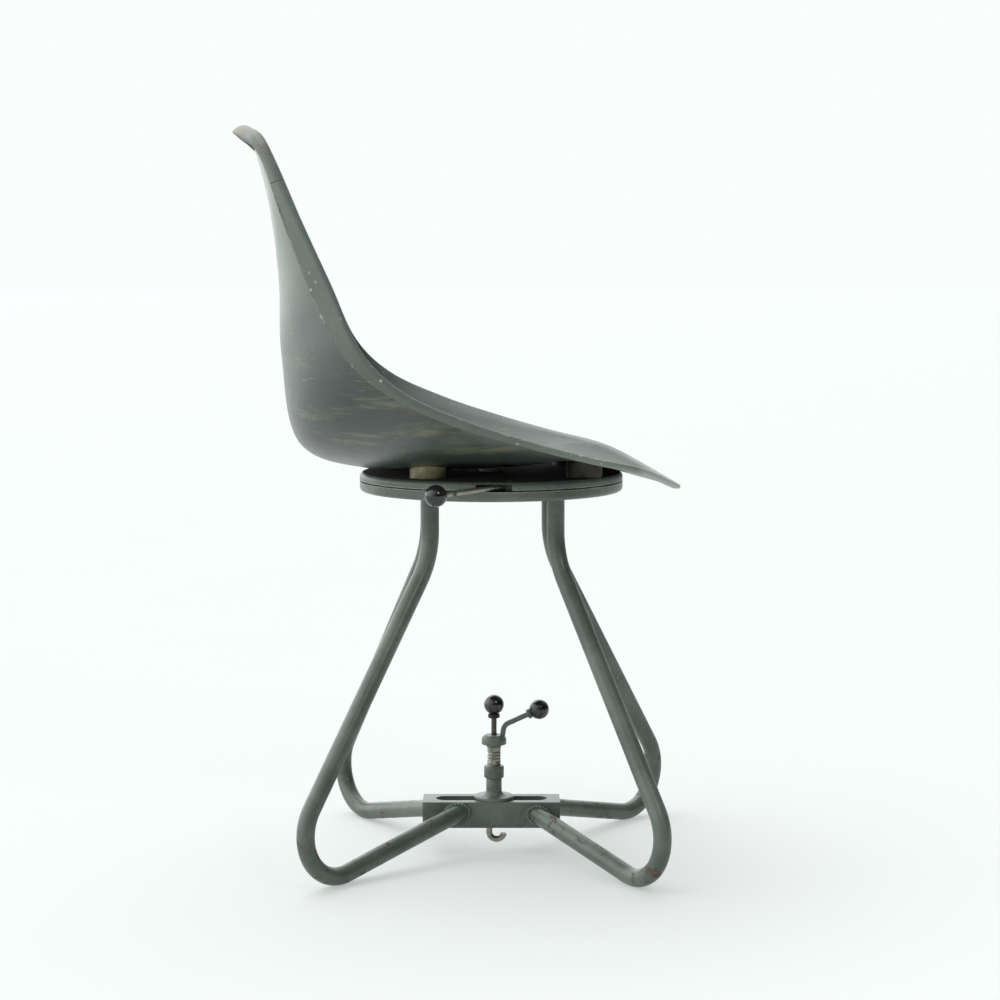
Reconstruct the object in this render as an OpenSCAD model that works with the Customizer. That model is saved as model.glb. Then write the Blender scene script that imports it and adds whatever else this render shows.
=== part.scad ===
// Swivel seat on a bent-tube stand: moulded bucket seat, ball-race turntable with a
// lock lever, four looped legs and a slotted floor channel that carries a hook clamp.
// +Z is up, the floor is z = 0 under the swivel axis, and the seat faces -Y.

/* [Seat shell] */
// Shell wall thickness
shell_wall = 5; // [4:0.5:6]
// Widest half width of the shell, measured at the crest of its rim
shell_half_width = 225; // [190:5:260]
// Height of the crest at the top of the back
back_top_z = 832; // [760:2:880]
// Height of the front lip above the floor
front_lip_z = 427; // [417:1:437]
// Turn of the seat on its swivel at rest, in degrees
seat_turn = 4.1; // [0:0.1:10]

/* [Turntable] */
// Outer radius of both pans
pan_r = 150; // [143:1:180]
// Sheet thickness of the pans
pan_wall = 2.5; // [2:0.25:3]
// Underside of the lower pan above the floor
pan_z = 419.6; // [380:0.2:450]
// Height of the lower pan's rim
lower_rim_h = 11.2; // [10:0.2:13]
// Gap between the two rims
rim_gap = 1.6; // [0.4:0.1:2]
// Height of the upper pan's rim
upper_rim_h = 9.1; // [9:0.1:13]
// Height of the resin pads between the upper pan and the lowest point of the shell
pad_gap = 5.6; // [5:0.1:8]
// Radius of a resin pad
pad_r = 20; // [16:1:24]
// Half spacing of the pads across the seat
pad_x = 82; // [74:1:88]
// Distance of the front pads ahead of the swivel axis
pad_front = 98; // [90:1:104]
// Distance of the rear pads behind the swivel axis
pad_rear = 76; // [70:1:84]

/* [Bearing and pivot] */
// Radius of the ball circle
ball_circle_r = 70; // [62:1:74]
// Diameter of a bearing ball
ball_d = 10; // [9:0.25:10.5]
// Number of balls
ball_count = 12; // [8:1:16]
// Diameter of the pivot bolt
pivot_d = 16; // [12:0.5:20]
// Outer radius of the brake ring
brake_r = 92; // [88:0.5:93]

/* [Lock lever] */
// Diameter of the lever rod
lock_rod_d = 6; // [5:0.25:6.5]
// Diameter of the lever's ball knob
lock_knob_d = 24; // [18:1:30]
// Width of the notch in the upper pan's rim
notch_w = 39; // [38:1:42]

/* [Legs] */
// Tube diameter
tube_d = 20; // [16:0.5:25]
// Tube wall
tube_wall = 2; // [1.5:0.25:3]
// Half spacing of the leg tops across the chair
leg_top_x = 50.9; // [46:0.5:60]
// Half spacing of the leg tops along the chair
leg_top_y = 70.6; // [60:0.5:85]
// Turn of the ring of leg tops, in degrees
leg_ring_turn = 2.4; // [0:0.2:4]
// Splay of each leg's plane, from straight ahead, in degrees
leg_splay = 51; // [46:0.5:56]
// Extra turn of each leg's plane, in degrees
leg_swirl = -3.7; // [-5:0.1:0]
// Lean of the straight stretch from upright, in degrees
leg_lean = 35.5; // [30:0.5:38]
// Height where the upright and leaning centre lines would meet
shoulder_z = 348.5; // [330:0.5:370]
// Bend radius at the shoulder
shoulder_r = 92; // [70:1:100]
// Bend radius at the foot
foot_r = 51; // [44:1:60]
// Rise of the return tube to the channel, in degrees
return_rise = 11.9; // [11:0.1:13]

/* [Floor channel] */
// Length of the channel
channel_l = 158; // [150:1:200]
// Width of the channel
channel_w = 45; // [40:0.5:50]
// Height of the channel section
channel_h = 30; // [26:0.5:34]
// Top face of the channel above the floor
channel_top_z = 61.2; // [60:0.2:64]
// Wall of the channel
channel_wall = 4; // [3:0.25:5]
// Length of the slot
slot_l = 128; // [110:1:140]
// Width of the slot
slot_w = 22; // [19:0.5:25]

/* [Hook clamp] */
// Distance of the clamp ahead of the swivel axis at rest
clamp_y = 3; // [0:0.5:10]
// Diameter of the washer that bridges the slot
slot_washer_d = 46; // [40:0.5:50]
// Diameter of the column sleeve
column_d = 18; // [17:0.25:20]
// Diameter of the threaded collar
collar_d = 23; // [20:0.5:26]
// Diameter of the screw sleeve
screw_d = 15.4; // [14:0.1:15.5]
// Diameter of the clamp hub
hub_d = 28.6; // [26:0.2:32]
// Diameter of the hook rod
hook_d = 7.2; // [6:0.1:7.6]
// Inside radius of the hook's bowl, at its centre line
hook_r = 8.5; // [7:0.5:10]
// Lowest point of the hook above the floor
hook_low_z = 9.5; // [8.5:0.5:12]
// Diameter of the two clamp knobs
clamp_knob_d = 23; // [18:1:26]

/* [Fits] */
// Radial clearance of a running fit
run_gap = 0.05; // [0.02:0.01:0.1]
// Clearance of a loose guide
guide_gap = 0.4; // [0.3:0.1:0.8]

/* [Hidden] */
$fn = 64;

paint = [0.41, 0.44, 0.42];
steel = [0.62, 0.62, 0.6];
black = [0.06, 0.06, 0.07];
resin = [0.66, 0.6, 0.4];
brass = [0.72, 0.6, 0.35];

// Turntable levels, from the floor up
lower_floor_z = pan_z + pan_wall;
lower_rim_z = pan_z + lower_rim_h;
upper_rim_z = lower_rim_z + rim_gap;
plate_z = upper_rim_z + upper_rim_h;
ceiling_z = plate_z - pan_wall;
ball_r = ball_d / 2;
ball_z = (lower_floor_z + ceiling_z) / 2;
seat_z = plate_z + pad_gap;

// ---- Seat shell ----------------------------------------------------------
// Stations run from the top of the back (0) to the front lip (10). Each has a point
// of the seat's middle line and a point of the rim's crest, as [forward, height],
// with heights measured from the lowest point of the shell's inside.
inside_z = seat_z + shell_wall;
top_h = back_top_z - inside_z;
lip_h = front_lip_z - inside_z;
dip_ahead = 10;
crest_ahead = 4;
lip_ahead = 63;
// The front stations stand ahead of the upper pan, whose edge the shell's underside clears.
// Radius of the rolled crest at each station
crest_r = [13, 7, 4.5, 4, 4, 4, 4, 4, 3.5, 3, 2.5];
middle = [[-259, top_h - crest_r[0]], [-246, 0.775 * top_h], [-235, 0.547 * top_h],
          [-232.5, 0.319 * top_h], [-214, 0.07 * top_h], [-140, 0], [-63, -1],
          [20, 2], [88, 11], [pan_r + dip_ahead, -9], [pan_r + lip_ahead, lip_h]];
crest = [[-259, top_h - crest_r[0]], [-248, 0.921 * top_h], [-215, 0.72 * top_h],
         [-181, 0.521 * top_h], [-151, 0.346 * top_h], [-108, 0.238 * top_h],
         [-44, 0.162 * top_h], [22, 0.105 * top_h], [88, 0.057 * top_h],
         [pan_r + crest_ahead, 5.1], [pan_r + lip_ahead, lip_h]];
// Half widths as shares of the widest one, before the ends are rounded off
fullness = [0.9, 0.92, 0.918, 0.955, 1.01, 1.03, 1.035, 1.065, 1.16, 1.29, 1.32];
// How far the flange's edge stands out from the crest, and how far it hangs back over
// the shell
rim_out = [24, 12.6, 16.8, 15.7, 12.1, 8, 8, 7, 7, 7.2, 6];
rim_back = [-9, 8.7, 14.3, 21.6, 12.8, 6.8, 6.7, 4, 3.7, 4.7, 4];
// Distance behind the flange where the outer skin starts
skin_step = 3;
side_power = 2.4;
around_n = 72;
skin_n = 11;

// Smooth curve through a list of stations, at u from 0 to its last index
function blend_at(list, u) =
    let (last = len(list) - 1,
         i = min(last - 1, max(0, floor(u))),
         f = u - i,
         p1 = list[i],
         p2 = list[i + 1],
         p0 = i > 0 ? list[i - 1] : 2 * p1 - p2,
         p3 = i < last - 1 ? list[i + 2] : 2 * p2 - p1)
    0.5 * (2 * p1 + (p2 - p0) * f + (2 * p0 - 5 * p1 + 4 * p2 - p3) * f * f
           + (3 * p1 - p0 - 3 * p2 + p3) * f * f * f);

// Point of the shell's inside: rho is 0 at the heel of the seat and 1 on the crest,
// and turn goes round the rim from the top of the back
function inside_at(rho, turn) =
    let (along = 5 * (1 - rho * cos(turn)),
         round_off = sqrt(max(1e-9, 1 - pow(rho * cos(turn), 2))),
         side = rho * sin(turn) / round_off,
         lift = pow(abs(side), side_power),
         mid = blend_at(middle, along),
         top = blend_at(crest, along),
         place = mid + (top - mid) * lift)
    [shell_half_width * blend_at(fullness, along) * rho * sin(turn),
     -place[0], inside_z + place[1]];

function unit(v) = v / norm(v);

// Directions on the shell: straight out towards the rim, and away from the sitter
function towards_rim(rho, turn) = unit(inside_at(rho + 0.002, turn) - inside_at(rho - 0.002, turn));
function away(rho, turn) =
    unit(cross(towards_rim(rho, turn), inside_at(rho, turn + 0.5) - inside_at(rho, turn - 0.5)));

function rim_point(turn, back, out) =
    inside_at(1, turn) - towards_rim(0.997, turn) * back + away(0.997, turn) * out;

// Place on the rolled crest, a quarter turn that starts at the inside's edge
function crest_point(turn, angle) =
    let (r = blend_at(crest_r, 5 * (1 - cos(turn))))
    rim_point(turn, -r * sin(angle), r * (1 - cos(angle)));

// Where the outer skin meets the back of the flange, as a share of rho
function skin_end(turn) =
    let (along = 5 * (1 - cos(turn)),
         reach = norm(inside_at(1, turn) - inside_at(0.9, turn)) / 0.1)
    1 - (max(0, blend_at(rim_back, along)) + skin_step) / reach;

function ring_turn(j) = 360 * j / around_n;

shell_points = concat(
    [inside_at(0, 0)],
    [for (i = [1:skin_n], j = [0:around_n - 1]) inside_at(i / skin_n, ring_turn(j))],
    [for (angle = [45, 90], j = [0:around_n - 1]) crest_point(ring_turn(j), angle)],
    [for (j = [0:around_n - 1])
        let (along = 5 * (1 - cos(ring_turn(j))))
        rim_point(ring_turn(j), blend_at(rim_back, along), blend_at(rim_out, along))],
    [for (i = [skin_n:-1:1], j = [0:around_n - 1])
        let (rho = skin_end(ring_turn(j)) * i / skin_n)
        inside_at(rho, ring_turn(j)) + away(rho, ring_turn(j)) * shell_wall],
    [inside_at(0, 0) + away(0.01, 90) * shell_wall]);
ring_n = 2 * skin_n + 3;
function at(ring, j) = 1 + ring * around_n + j % around_n;
shell_faces = concat(
    [for (j = [0:around_n - 1]) [0, at(0, j), at(0, j + 1)]],
    [for (i = [0:ring_n - 2], j = [0:around_n - 1]) [at(i, j), at(i + 1, j), at(i + 1, j + 1)]],
    [for (i = [0:ring_n - 2], j = [0:around_n - 1]) [at(i, j), at(i + 1, j + 1), at(i, j + 1)]],
    [for (j = [0:around_n - 1])
        [1 + ring_n * around_n, at(ring_n - 1, j + 1), at(ring_n - 1, j)]]);

// Everything above the shell's underside, to trim what is bonded to it
plug_points = concat(
    [inside_at(0, 0) + away(0.01, 90) * shell_wall],
    [for (i = [1:skin_n - 1], j = [0:around_n - 1])
        let (rho = skin_end(ring_turn(j)) * i / skin_n)
        inside_at(rho, ring_turn(j)) + away(rho, ring_turn(j)) * shell_wall],
    [[0, 0, 2 * back_top_z]]);
plug_faces = concat(
    [for (j = [0:around_n - 1]) [0, at(0, j + 1), at(0, j)]],
    [for (i = [0:skin_n - 3], j = [0:around_n - 1]) [at(i, j), at(i, j + 1), at(i + 1, j)]],
    [for (i = [0:skin_n - 3], j = [0:around_n - 1]) [at(i, j + 1), at(i + 1, j + 1), at(i + 1, j)]],
    [for (j = [0:around_n - 1])
        [1 + (skin_n - 1) * around_n, at(skin_n - 2, j), at(skin_n - 2, j + 1)]]);

module seat_shell() {
    color(paint) rotate(seat_turn) polyhedron(shell_points, shell_faces, convexity = 6);
}

// ---- Seat fixings --------------------------------------------------------
fixing_spots = [[-pad_x, -pad_front], [pad_x, -pad_front], [-pad_x, pad_rear], [pad_x, pad_rear]];
bolt_r = 4;
insert_r = 7;
insert_h = min(7, pad_gap + 1.2);
bolt_head_h = 5.3;
bolt_head_r = 7.5;
seat_washer_h = 1.6;

module at_fixings() {
    rotate(seat_turn)
        for (spot = fixing_spots)
            translate([spot[0], spot[1], 0])
                children();
}

module seat_pads() {
    color(resin) difference() {
        at_fixings() translate([0, 0, plate_z]) cylinder(h = 30, r = pad_r, $fn = 40);
        rotate(seat_turn) polyhedron(plug_points, plug_faces, convexity = 6);
        at_fixings() translate([0, 0, plate_z - 1]) cylinder(h = insert_h + 1, r = insert_r);
    }
}

module seat_inserts() {
    color(brass) at_fixings() translate([0, 0, plate_z]) difference() {
        cylinder(h = insert_h, r = insert_r);
        translate([0, 0, -1]) cylinder(h = insert_h + 2, r = bolt_r);
    }
}

module seat_washers() {
    color(steel) at_fixings() translate([0, 0, ceiling_z - seat_washer_h]) difference() {
        cylinder(h = seat_washer_h, r = bolt_head_r + 0.8);
        translate([0, 0, -1]) cylinder(h = seat_washer_h + 2, r = bolt_r + 0.2);
    }
}

module seat_bolts() {
    head_z = ceiling_z - seat_washer_h - bolt_head_h;
    color(steel) at_fixings() {
        translate([0, 0, head_z]) cylinder(h = bolt_head_h, r = bolt_head_r, $fn = 6);
        translate([0, 0, head_z + bolt_head_h])
            cylinder(h = seat_washer_h + pan_wall + insert_h - 0.5, r = bolt_r);
    }
}

// ---- Turntable -----------------------------------------------------------
edge_r = 5;

// Points of a quarter turn with its centre at c, from angle a0 to a1
function arc(c, r, a0, a1, n = 8) =
    [for (i = [0:n]) let (a = a0 + (a1 - a0) * i / n) [c[0] + r * cos(a), c[1] + r * sin(a)]];

// A dished round pan of height h, open at the top, with a rounded outer corner
module pan(h, hole_r) {
    rotate_extrude($fn = 120)
        polygon(concat(
            [[hole_r, 0]],
            arc([pan_r - edge_r, edge_r], edge_r, -90, 0),
            [[pan_r, h], [pan_r - pan_wall, h]],
            arc([pan_r - edge_r, edge_r], edge_r - pan_wall, 0, -90),
            [[hole_r, pan_wall]]));
}

bush_wall = 3;
bush_flange_h = 1.9;
bush_drop = 3;
boss_wall = 5;
pivot_r = pivot_d / 2;
bush_r = pivot_r + run_gap + bush_wall;
pivot_head_h = min(4, pad_gap - 1);

module lower_pan() {
    color(paint) {
        difference() {
            union() {
                translate([0, 0, pan_z]) pan(lower_rim_h, bush_r);
                translate([0, 0, pan_z - bush_drop]) cylinder(h = bush_drop, r = bush_r + boss_wall);
            }
            translate([0, 0, pan_z - bush_drop - 1]) cylinder(h = bush_drop + 10, r = bush_r);
        }
    }
}

module pivot_bush() {
    color(brass) difference() {
        union() {
            translate([0, 0, pan_z - bush_drop]) cylinder(h = bush_drop + pan_wall, r = bush_r);
            translate([0, 0, lower_floor_z]) cylinder(h = bush_flange_h, r = bush_r + 4);
        }
        translate([0, 0, pan_z - bush_drop - 1]) cylinder(h = 40, r = pivot_r + run_gap);
    }
}

module brake_ring() {
    color(steel) translate([0, 0, lower_floor_z]) difference() {
        cylinder(h = ceiling_z - lower_floor_z - 3, r = brake_r, $fn = 120);
        translate([0, 0, -1]) cylinder(h = 40, r = brake_r - 4, $fn = 120);
    }
}

race_half_w = 10;
groove_depth = 1;

module ball_groove() {
    translate([0, 0, ball_z]) rotate_extrude($fn = 96)
        translate([ball_circle_r, 0]) circle(r = ball_r + run_gap);
}

module race(z0, z1) {
    difference() {
        translate([0, 0, z0]) cylinder(h = z1 - z0, r = ball_circle_r + race_half_w, $fn = 96);
        translate([0, 0, z0 - 1]) cylinder(h = 40, r = ball_circle_r - race_half_w, $fn = 96);
        ball_groove();
    }
}

module lower_race() {
    color(steel) race(lower_floor_z, ball_z - ball_r + groove_depth);
}

module upper_race() {
    color(steel) race(ball_z + ball_r - groove_depth, ceiling_z);
}

module at_balls() {
    for (i = [0:ball_count - 1])
        rotate(360 * i / ball_count) translate([ball_circle_r, 0, ball_z]) children();
}

module bearing_balls() {
    color(steel) at_balls() sphere(r = ball_r, $fn = 32);
}

cage_h = 3;
cage_half_w = 8;

module ball_cage() {
    color(brass) difference() {
        translate([0, 0, ball_z - cage_h / 2]) cylinder(h = cage_h, r = ball_circle_r + cage_half_w);
        translate([0, 0, ball_z - 5]) cylinder(h = 10, r = ball_circle_r - cage_half_w);
        at_balls() translate([0, 0, -5]) cylinder(h = 10, r = ball_r + 0.1);
    }
}

// Lock lever: the rod leaves its boss, drops a little through the notch and ends in the knob
rod_r = lock_rod_d / 2;
rod_z = lower_rim_z + 1 + rod_r;
pin_spot = [-(pan_r - 20), -20];
notch_y = -3.5;
knob_spot = [-(pan_r + 37), 58.5, rod_z - 4.4];
shoe_spot = [-(brake_r + 3.5), -39.5];
shoe_r = 6.6;
pin_r = 4;
knuckle = 0.05;
lever_plate_h = 4;
lever_hub_r = 9;
lever_arm_w = 9;
lever_eye_r = 6;
shoe_stud_r = 3;
shoe_clear = 3;

module upper_pan() {
    color(paint) difference() {
        translate([0, 0, plate_z]) mirror([0, 0, 1]) pan(upper_rim_h, pivot_r);
        at_fixings() translate([0, 0, ceiling_z - 1]) cylinder(h = pan_wall + 2, r = bolt_r + 0.2);
        translate([-pan_r - 10, notch_y - notch_w / 2, upper_rim_z - 1])
            cube([20, notch_w, ceiling_z - upper_rim_z + 1]);
        translate([pin_spot[0], pin_spot[1], ceiling_z - 1]) cylinder(h = pan_wall + 2, r = pin_r);
    }
}

module lock_pin() {
    color(steel) translate([pin_spot[0], pin_spot[1], 0]) {
        translate([0, 0, lever_low_z - 2]) cylinder(h = 1.9, r = pin_r + 1.4);
        translate([0, 0, lever_low_z - 0.2]) cylinder(h = plate_z - lever_low_z + 0.2, r = pin_r);
    }
}

// A round rod from point a to point b
module rod(a, b, r) {
    span = b - a;
    translate(a)
        rotate([0, acos(span[2] / norm(span)), atan2(span[1], span[0])])
            cylinder(h = norm(span), r = r);
}

function lift_to(p, z) = [p[0], p[1], z];

boss_h = 2 * rod_r + 0.1;
lever_low_z = rod_z - lever_plate_h / 2;
rod_start = pin_spot + unit([knob_spot[0], knob_spot[1]] - pin_spot) * (pin_r + 1.6);

module lever_rod() {
    rod(lift_to(rod_start, lever_low_z + boss_h / 2), knob_spot, rod_r);
}

module lock_lever() {
    arm = shoe_spot - pin_spot;
    color(steel) difference() {
        union() {
            translate([pin_spot[0], pin_spot[1], lever_low_z]) cylinder(h = boss_h, r = lever_hub_r);
            translate([pin_spot[0], pin_spot[1], lever_low_z]) rotate(atan2(arm[1], arm[0]))
                translate([0, -lever_arm_w / 2, 0]) cube([norm(arm), lever_arm_w, lever_plate_h]);
            translate([shoe_spot[0], shoe_spot[1], lever_low_z])
                cylinder(h = lever_plate_h, r = lever_eye_r);
            lever_rod();
        }
        translate([pin_spot[0], pin_spot[1], lever_low_z - 5]) cylinder(h = 20, r = pin_r + run_gap);
        translate([shoe_spot[0], shoe_spot[1], lever_low_z - 5]) cylinder(h = 20, r = shoe_stud_r);
    }
}

module lock_shoe() {
    low_z = lower_floor_z + shoe_clear;
    color(black) translate([shoe_spot[0], shoe_spot[1], 0]) {
        translate([0, 0, low_z]) cylinder(h = lever_low_z - low_z, r = shoe_r);
        translate([0, 0, lever_low_z]) cylinder(h = lever_plate_h, r = shoe_stud_r);
    }
}

module lock_knob() {
    color(black) difference() {
        translate(knob_spot) sphere(r = lock_knob_d / 2);
        lever_rod();
    }
}

module pivot_bolt() {
    color(steel) difference() {
        union() {
            translate([0, 0, plate_z]) cylinder(h = pivot_head_h, r = pivot_r + 6);
            translate([0, 0, nut_low_z]) cylinder(h = plate_z - nut_low_z + 0.5, r = pivot_r);
        }
        translate([0, 0, cotter_z]) rotate([0, 90, 0])
            cylinder(h = 60, r = cotter_r + 0.1, center = true);
    }
}

pivot_washer_h = 1.6;
pivot_nut_h = 8;
cotter_r = 1.5;
pivot_slip = 0.2;
nut_top_z = pan_z - bush_drop - pivot_slip - pivot_washer_h;
nut_low_z = nut_top_z - pivot_nut_h;
cotter_z = nut_low_z + 2.7;

module pivot_washer() {
    color(steel) translate([0, 0, nut_top_z]) difference() {
        cylinder(h = pivot_washer_h, r = pivot_r + 8);
        translate([0, 0, -1]) cylinder(h = pivot_washer_h + 2, r = pivot_r + 0.2);
    }
}

module pivot_nut() {
    slot_h = 4.5;
    color(steel) translate([0, 0, nut_low_z]) difference() {
        cylinder(h = pivot_nut_h, r = pivot_r + 6, $fn = 6);
        translate([0, 0, -1]) cylinder(h = pivot_nut_h + 2, r = pivot_r);
        for (a = [0, 60, 120])
            rotate(a) translate([-30, -cotter_r - 0.3, -1]) cube([60, 2 * cotter_r + 0.6, slot_h + 1]);
    }
}

module cotter_pin() {
    color(steel) translate([0, 0, cotter_z]) rotate([0, 90, 0])
        cylinder(h = 2 * pivot_r + 14, r = cotter_r, center = true);
}

// ---- Legs ----------------------------------------------------------------
tube_r = tube_d / 2;
rod_lap = 0.5;
bend_slack = 0.02;
shoulder_centre = [shoulder_r, shoulder_z + shoulder_r * tan(leg_lean / 2)];
lean_start = [shoulder_r * (1 - cos(leg_lean)), shoulder_centre[1] - shoulder_r * sin(leg_lean)];
foot_z = tube_r + foot_r;
lean_l = (lean_start[1] - foot_r * sin(leg_lean) - foot_z) / cos(leg_lean);
foot_x = lean_start[0] + lean_l * sin(leg_lean) - foot_r * cos(leg_lean);
return_start = [foot_x - foot_r * sin(return_rise), foot_z - foot_r * cos(return_rise)];
return_l = (return_start[0] + leg_top_x + tube_d) / cos(return_rise);

// Place of a leg's top; side is +1 on the left, end is -1 at the front
function leg_spot(side, end) =
    let (x = side * leg_top_x, y = end * leg_top_y)
    [x * cos(leg_ring_turn) - y * sin(leg_ring_turn), x * sin(leg_ring_turn) + y * cos(leg_ring_turn)];
function leg_heading(side, end) = atan2(end * cos(leg_splay), side * sin(leg_splay)) + leg_swirl;

// Part of a torus in the upright plane, between two angles from straight outwards.
// Bends are a hair slimmer than the straight stretches, which lap into them.
module bend(centre, r, a0, a1, thick, slack = bend_slack) {
    translate([centre[0], 0, centre[1]]) rotate([90, 0, 0]) rotate([0, 0, a0])
        rotate_extrude(angle = a1 - a0, $fn = 96)
            translate([r, 0]) circle(r = thick - slack, $fn = 48);
}

// A straight stretch in the upright plane, lapped at both ends
module straight(start, angle, l, thick, lap = rod_lap) {
    translate([start[0], 0, start[1]]) rotate([0, 90 - angle, 0])
        translate([0, 0, -rod_lap]) cylinder(h = l + rod_lap + lap, r = thick, $fn = 48);
}

// The looped leg's centre line given a thickness, in its own upright plane
module leg_line(thick, extra) {
    straight([0, shoulder_centre[1]], 90, pan_z - shoulder_centre[1], thick, extra);
    bend(shoulder_centre, shoulder_r, 180, 180 + leg_lean, thick);
    straight(lean_start, leg_lean - 90, lean_l, thick);
    bend([foot_x, foot_z], foot_r, -90 - return_rise, leg_lean, thick);
    straight(return_start, 180 - return_rise, return_l, thick);
}

module at_leg(side, end) {
    spot = leg_spot(side, end);
    translate([spot[0], spot[1], 0]) rotate(leg_heading(side, end)) children();
}

// Everything past the plane x = side * reach, on that side of the chair
module beyond(side, reach) {
    translate([side * (200 + reach) - 200, -300, -50]) cube([400, 600, 250]);
}

module leg(side, end) {
    color(paint) difference() {
        at_leg(side, end) leg_line(tube_r, 0);
        at_leg(side, end) leg_line(tube_r - tube_wall, 1);
        beyond(-side, -channel_w / 2);
    }
}

module leg_front_left() leg(1, -1);
module leg_front_right() leg(-1, -1);
module leg_rear_left() leg(1, 1);
module leg_rear_right() leg(-1, 1);

module at_legs() {
    for (side = [-1, 1], end = [-1, 1])
        at_leg(side, end) children();
}

weld_w = 4;
weld_h = 2.5;

module pan_welds() {
    color(paint) at_legs() translate([0, 0, pan_z - weld_w]) difference() {
        cylinder(h = weld_w, r1 = tube_r, r2 = tube_r + weld_w);
        translate([0, 0, -1]) cylinder(h = weld_w + 2, r = tube_r);
    }
}

// A sleeve along the return tube
module return_sleeve(thick) {
    straight(return_start, 180 - return_rise, return_l, thick);
}

module channel_welds() {
    color(paint) for (side = [-1, 1], end = [-1, 1])
        difference() {
            at_leg(side, end) return_sleeve(tube_r + weld_h);
            at_leg(side, end) return_sleeve(tube_r);
            beyond(-side, -channel_w / 2);
            beyond(side, channel_w / 2 + weld_w);
        }
}

// ---- Floor channel -------------------------------------------------------
channel_low_z = channel_top_z - channel_h;
inner_w = channel_w - 2 * channel_wall;

module centred_box(x, y, z0, z1) {
    translate([-x / 2, -y / 2, z0]) cube([x, y, z1 - z0]);
}

module channel() {
    slot_r = slot_w / 2;
    color(paint) difference() {
        centred_box(channel_w, channel_l, channel_low_z, channel_top_z);
        centred_box(inner_w, channel_l + 2, channel_low_z - 1, channel_top_z - channel_wall);
        centred_box(slot_w, slot_l - slot_w, channel_low_z, channel_top_z + 1);
        for (end = [-1, 1])
            translate([0, end * (slot_l / 2 - slot_r), channel_low_z])
                cylinder(h = channel_h + 1, r = slot_r);
    }
}

module channel_ends() {
    color(paint) for (end = [-1, 1])
        translate([0, end * (channel_l - channel_wall) / 2, 0])
            centred_box(inner_w, channel_wall, channel_low_z, channel_top_z - channel_wall);
}

// ---- Hook clamp ----------------------------------------------------------
rest_gap = 0.05;
slot_washer_h = 3.5;
washer_z = channel_top_z + rest_gap;
column_low_z = washer_z + slot_washer_h;
column_r = column_d / 2;
column_flare_r = 15;
flare_h = 4;
collar_z = 85.7;
collar_h = 13.9;
screw_r = screw_d / 2;
screw_reach = 12;
hook_rod_r = hook_d / 2;
hub_z = 124.8;
hub_h = 5.2;
hub_r = hub_d / 2;
cap_h = 6;
hub_pocket_r = 8.3;
pocket_floor_z = hub_z + 1;
thrust_h = 2;
shoulder_h = 1.4;
thrust_z = pocket_floor_z + 0.1;
rod_shoulder_z = thrust_z + thrust_h + 0.1;

module at_clamp() {
    translate([0, -clamp_y, 0]) children();
}

module slot_washer() {
    color(paint) at_clamp() translate([0, 0, washer_z]) difference() {
        cylinder(h = slot_washer_h, r = slot_washer_d / 2);
        translate([0, 0, -1]) cylinder(h = slot_washer_h + 2, r = hook_rod_r + 1);
    }
}

module column_sleeve() {
    color(paint) at_clamp() difference() {
        union() {
            translate([0, 0, column_low_z]) cylinder(h = flare_h, r1 = column_flare_r, r2 = column_r);
            translate([0, 0, column_low_z]) cylinder(h = collar_z - column_low_z, r = column_r);
        }
        translate([0, 0, column_low_z - 1]) cylinder(h = 60, r = hook_rod_r + 1);
        translate([0, 0, collar_z - screw_reach]) cylinder(h = 60, r = screw_r + 0.3);
    }
}

module collar() {
    color(paint) at_clamp() translate([0, 0, collar_z]) difference() {
        cylinder(h = collar_h, r = collar_d / 2);
        translate([0, 0, -1]) cylinder(h = collar_h + 2, r = screw_r + run_gap);
    }
}

guide_block_z = 50.5;
guide_block_l = 40;
guide_neck_l = 30;

module guide_block() {
    color(steel) at_clamp() difference() {
        union() {
            centred_box(inner_w - 3, guide_block_l, guide_block_z, channel_top_z - channel_wall - 0.1);
            centred_box(slot_w - 2 * guide_gap, guide_neck_l, guide_block_z, washer_z);
        }
        translate([0, 0, guide_block_z - 1]) cylinder(h = 40, r = hook_rod_r + 1);
    }
}

module screw_sleeve() {
    low_z = collar_z - 2;
    color(steel) at_clamp() difference() {
        translate([0, 0, low_z]) cylinder(h = pocket_floor_z - low_z, r = screw_r);
        translate([0, 0, low_z - 1]) cylinder(h = 60, r = hook_rod_r + run_gap);
        for (z = [107, 110.5, 114])
            translate([0, 0, z]) rotate([8, 0, 0])
                rotate_extrude() translate([screw_r + 0.4, 0]) circle(r = 1.1, $fn = 16);
    }
}

module clamp_hub() {
    color(paint) at_clamp() difference() {
        union() {
            translate([0, 0, hub_z - 3]) cylinder(h = 3, r = screw_r + 1);
            translate([0, 0, hub_z]) cylinder(h = hub_h, r = hub_r);
        }
        translate([0, 0, hub_z - 4]) cylinder(h = 40, r = screw_r);
        translate([0, 0, pocket_floor_z]) cylinder(h = 40, r = hub_pocket_r);
    }
}

// Clamp lever: up out of the hub cap, then away to the knob
lever_r = 3;
lever_root = [9.45, hub_z + hub_h + 1];
lever_knee = [11.6, 147];
lever_tip = [52, 165.4];
lever_bend_r = 10;
rod_slack = 0.03;
lever_up = atan2(lever_knee[1] - lever_root[1], lever_knee[0] - lever_root[0]);
lever_out = atan2(lever_tip[1] - lever_knee[1], lever_tip[0] - lever_knee[0]);
lever_trim = lever_bend_r * tan((lever_up - lever_out) / 2);
lever_turn_in = (lever_up + lever_out) / 2 - 90;
lever_bend_centre = lever_knee + lever_bend_r / cos((lever_up - lever_out) / 2)
                    * [cos(lever_turn_in), sin(lever_turn_in)];

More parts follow.
